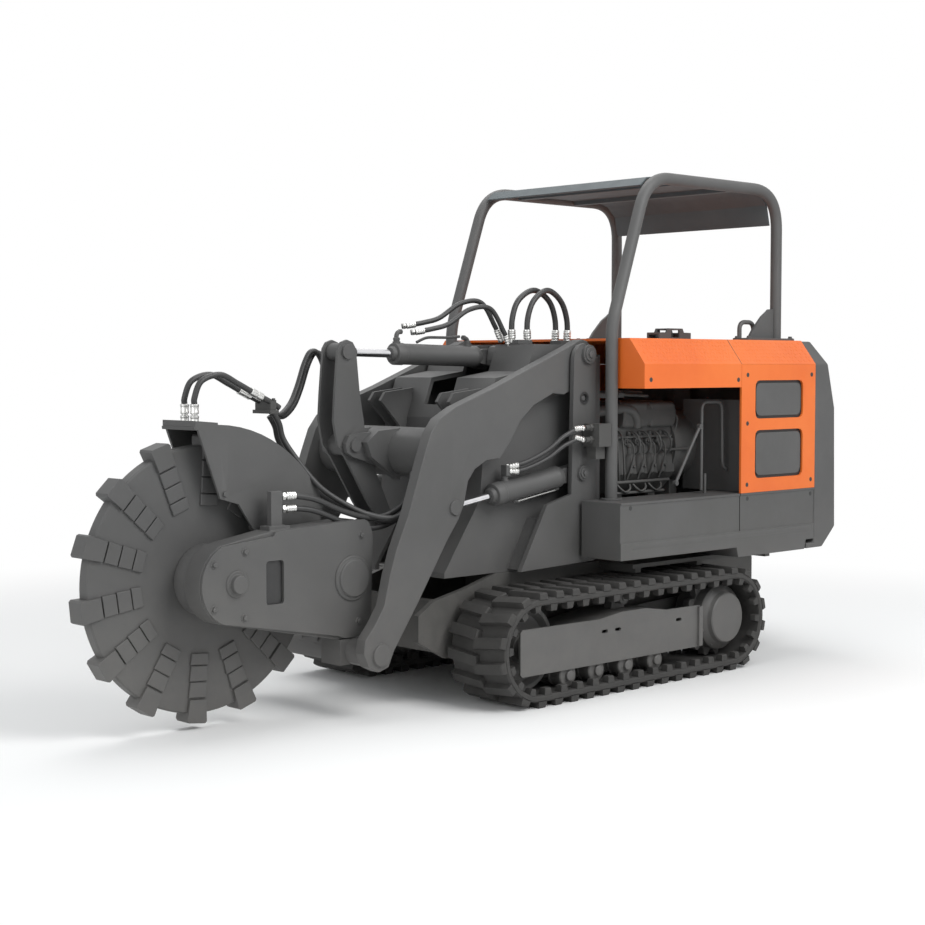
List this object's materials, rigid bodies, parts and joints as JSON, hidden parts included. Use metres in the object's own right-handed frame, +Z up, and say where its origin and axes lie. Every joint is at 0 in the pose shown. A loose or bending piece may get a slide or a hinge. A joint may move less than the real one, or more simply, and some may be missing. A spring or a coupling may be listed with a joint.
{
  "type": "stump grinder",
  "caption": "Tracked stump grinder with an open engine bay, tower, curved lift arms, tilt linkage and a toothed cutter wheel under a guard.",
  "frame": {"origin": "middle of the bottom of the whole machine at rest", "axes": "+Z up, cutter wheel end to -Y, open engine side to +X"},
  "size_m": [1.48, 4.2598, 2.5],
  "materials": {
    "orange_paint": "satin",
    "grey_paint": "satin",
    "dark_frame_paint": "matte",
    "track_rubber": "matte",
    "hose_rubber": "satin",
    "chrome_rod": "polished",
    "tooth_steel": "worn",
    "cast_engine_grey": "rough",
    "grille_plastic": "matte"
  },
  "bodies": {
    "carrier": {"bay_frame": "grey_paint", "canopy_hoop_left": "grey_paint", "canopy_hoop_right": "grey_paint", "canopy_roof": "dark_frame_paint", "chassis": "dark_frame_paint", "counterweight": "grey_paint", "engine_block": "cast_engine_grey", "flywheel_housing": "cast_engine_grey", "hood": "orange_paint", "manifold_block": "dark_frame_paint", "radiator": "dark_frame_paint", "rear_panel_left": "orange_paint", "rear_panel_right": "orange_paint", "side_box_left": "grey_paint", "side_box_right": "grey_paint", "tower": "grey_paint", "tower_hoses": "hose_rubber", "track_belt_left": "track_rubber", "track_belt_right": "track_rubber", "track_frame_left": "dark_frame_paint", "track_frame_right": "dark_frame_paint", "window_grille_left": "grille_plastic", "window_grille_right": "grille_plastic"},
    "lift_arms": {"lift_arm_left": "grey_paint", "lift_arm_right": "grey_paint", "cross_tube": "grey_paint"},
    "grinder_head": {"head_frame": "grey_paint", "drive_case": "grey_paint", "drive_cover": "grey_paint", "wheel_guard": "grey_paint", "guard_hoses": "hose_rubber", "case_hoses": "hose_rubber", "head_to_arm_hoses": "hose_rubber"},
    "cutter": {"cutter_wheel": "tooth_steel", "wheel_hub": "dark_frame_paint"},
    "crank": {"bell_crank": "grey_paint"},
    "link": {"tilt_link": "grey_paint"},
    "tilt_cylinder": {"tilt_barrel": "grey_paint", "tilt_hoses": "hose_rubber"},
    "tilt_cylinder_rod": {"tilt_rod": "chrome_rod"},
    "fan": {"cooling_fan": "grille_plastic"},
    "lift_cylinder_left": {"lift_barrel_left": "grey_paint", "lift_hoses": "hose_rubber"},
    "lift_cylinder_rod_left": {"lift_rod_left": "chrome_rod"},
    "idler_wheel_left": {"idler_left": "dark_frame_paint"},
    "sprocket_wheel_left": {"sprocket_left": "dark_frame_paint"},
    "carrier_wheel_left": {"carrier_roller_left": "dark_frame_paint"},
    "roller_1_left": {"bottom_roller_1_left": "dark_frame_paint"},
    "roller_2_left": {"bottom_roller_2_left": "dark_frame_paint"},
    "roller_3_left": {"bottom_roller_3_left": "dark_frame_paint"},
    "roller_4_left": {"bottom_roller_4_left": "dark_frame_paint"},
    "lift_cylinder_right": {"lift_barrel_right": "grey_paint"},
    "lift_cylinder_rod_right": {"lift_rod_right": "chrome_rod"},
    "idler_wheel_right": {"idler_right": "dark_frame_paint"},
    "sprocket_wheel_right": {"sprocket_right": "dark_frame_paint"},
    "carrier_wheel_right": {"carrier_roller_right": "dark_frame_paint"},
    "roller_1_right": {"bottom_roller_1_right": "dark_frame_paint"},
    "roller_2_right": {"bottom_roller_2_right": "dark_frame_paint"},
    "roller_3_right": {"bottom_roller_3_right": "dark_frame_paint"},
    "roller_4_right": {"bottom_roller_4_right": "dark_frame_paint"}
  },
  "joints": [
    {"name": "lift", "type": "hinge", "parent": "carrier", "child": "lift_arms", "pos_m": [0, 0.42792, 1.602], "axis": [-1, 0, 0], "range_deg": [-8, 18]},
    {"name": "head_tilt", "type": "hinge", "parent": "lift_arms", "child": "grinder_head", "pos_m": [0, -0.87008, 0.287], "axis": [-1, 0, 0], "range_deg": [-12, 12], "deforming": ["case_hoses", "head_to_arm_hoses"]},
    {"name": "cutter_spin", "type": "hinge", "parent": "grinder_head", "child": "cutter", "pos_m": [0, -1.51708, 0.64], "axis": [-1, 0, 0], "continuous": true},
    {"name": "crank_swing", "type": "hinge", "parent": "lift_arms", "child": "crank", "pos_m": [0, -0.72008, 1.187], "axis": [-1, 0, 0], "range_deg": [-12.5, 12.5]},
    {"name": "link_swing", "type": "hinge", "parent": "crank", "child": "link", "pos_m": [0, -0.51008, 0.84], "axis": [-1, 0, 0], "range_deg": [-5, 5]},
    {"name": "lift_cylinder_swing_left", "type": "hinge", "parent": "carrier", "child": "lift_cylinder_left", "pos_m": [0.405, 0.38992, 1.031], "axis": [-1, 0, 0], "range_deg": [-10, 20], "deforming": ["lift_hoses"]},
    {"name": "lift_rod_slide_left", "type": "slide", "parent": "lift_cylinder_left", "child": "lift_cylinder_rod_left", "axis": [0, -0.9886, -0.1504], "range_m": [-0.09, 0.19]},
    {"name": "lift_cylinder_swing_right", "type": "hinge", "parent": "carrier", "child": "lift_cylinder_right", "pos_m": [-0.405, 0.38992, 1.031], "axis": [-1, 0, 0], "range_deg": [-10, 20]},
    {"name": "lift_rod_slide_right", "type": "slide", "parent": "lift_cylinder_right", "child": "lift_cylinder_rod_right", "axis": [0, -0.9886, -0.1504], "range_m": [-0.09, 0.19]},
    {"name": "tilt_cylinder_swing", "type": "hinge", "parent": "carrier", "child": "tilt_cylinder", "pos_m": [0, 0.20192, 1.59], "axis": [-1, 0, 0], "range_deg": [-11, 23], "deforming": ["tilt_hoses"]},
    {"name": "tilt_rod_slide", "type": "slide", "parent": "tilt_cylinder", "child": "tilt_cylinder_rod", "axis": [0, -0.9998, 0.0212], "range_m": [-0.09, 0.09]},
    {"name": "idler_turn_left", "type": "hinge", "parent": "carrier", "child": "idler_wheel_left", "pos_m": [0.565, -0.17308, 0.262], "axis": [1, 0, 0], "continuous": true},
    {"name": "sprocket_turn_left", "type": "hinge", "parent": "carrier", "child": "sprocket_wheel_left", "pos_m": [0.565, 1.25792, 0.262], "axis": [1, 0, 0], "continuous": true},
    {"name": "carrier_roller_turn_left", "type": "hinge", "parent": "carrier", "child": "carrier_wheel_left", "pos_m": [0.573, 0.50992, 0.4316], "axis": [1, 0, 0], "continuous": true},
    {"name": "roller_1_turn_left", "type": "hinge", "parent": "carrier", "child": "roller_1_left", "pos_m": [0.573, 0.06492, 0.1134], "axis": [1, 0, 0], "continuous": true},
    {"name": "roller_2_turn_left", "type": "hinge", "parent": "carrier", "child": "roller_2_left", "pos_m": [0.573, 0.26292, 0.1134], "axis": [1, 0, 0], "continuous": true},
    {"name": "roller_3_turn_left", "type": "hinge", "parent": "carrier", "child": "roller_3_left", "pos_m": [0.573, 0.47492, 0.1134], "axis": [1, 0, 0], "continuous": true},
    {"name": "roller_4_turn_left", "type": "hinge", "parent": "carrier", "child": "roller_4_left", "pos_m": [0.573, 0.69192, 0.1134], "axis": [1, 0, 0], "continuous": true},
    {"name": "idler_turn_right", "type": "hinge", "parent": "carrier", "child": "idler_wheel_right", "pos_m": [-0.565, -0.17308, 0.262], "axis": [1, 0, 0], "continuous": true},
    {"name": "sprocket_turn_right", "type": "hinge", "parent": "carrier", "child": "sprocket_wheel_right", "pos_m": [-0.565, 1.25792, 0.262], "axis": [1, 0, 0], "continuous": true},
    {"name": "carrier_roller_turn_right", "type": "hinge", "parent": "carrier", "child": "carrier_wheel_right", "pos_m": [-0.573, 0.50992, 0.4316], "axis": [1, 0, 0], "continuous": true},
    {"name": "roller_1_turn_right", "type": "hinge", "parent": "carrier", "child": "roller_1_right", "pos_m": [-0.573, 0.06492, 0.1134], "axis": [1, 0, 0], "continuous": true},
    {"name": "roller_2_turn_right", "type": "hinge", "parent": "carrier", "child": "roller_2_right", "pos_m": [-0.573, 0.26292, 0.1134], "axis": [1, 0, 0], "continuous": true},
    {"name": "roller_3_turn_right", "type": "hinge", "parent": "carrier", "child": "roller_3_right", "pos_m": [-0.573, 0.47492, 0.1134], "axis": [1, 0, 0], "continuous": true},
    {"name": "roller_4_turn_right", "type": "hinge", "parent": "carrier", "child": "roller_4_right", "pos_m": [-0.573, 0.69192, 0.1134], "axis": [1, 0, 0], "continuous": true},
    {"name": "fan_spin", "type": "hinge", "parent": "carrier", "child": "fan", "pos_m": [0, 1.72992, 1.22], "axis": [0, 1, 0], "continuous": true}
  ],
  "couplings": [
    {"joint": "lift_cylinder_swing_left", "follows": "lift", "ratio": 1.0708},
    {"joint": "lift_cylinder_swing_right", "follows": "lift", "ratio": 1.0708},
    {"joint": "lift_rod_slide_left", "follows": "lift", "m_per_rad": 0.5665},
    {"joint": "lift_rod_slide_right", "follows": "lift", "m_per_rad": 0.5665},
    {"joint": "tilt_cylinder_swing", "follows": "lift", "ratio": 1.2327},
    {"joint": "crank_swing", "follows": "head_tilt", "ratio": -0.9686},
    {"joint": "link_swing", "follows": "head_tilt", "ratio": -0.2759},
    {"joint": "tilt_rod_slide", "follows": "head_tilt", "m_per_rad": 0.4076}
  ]
}
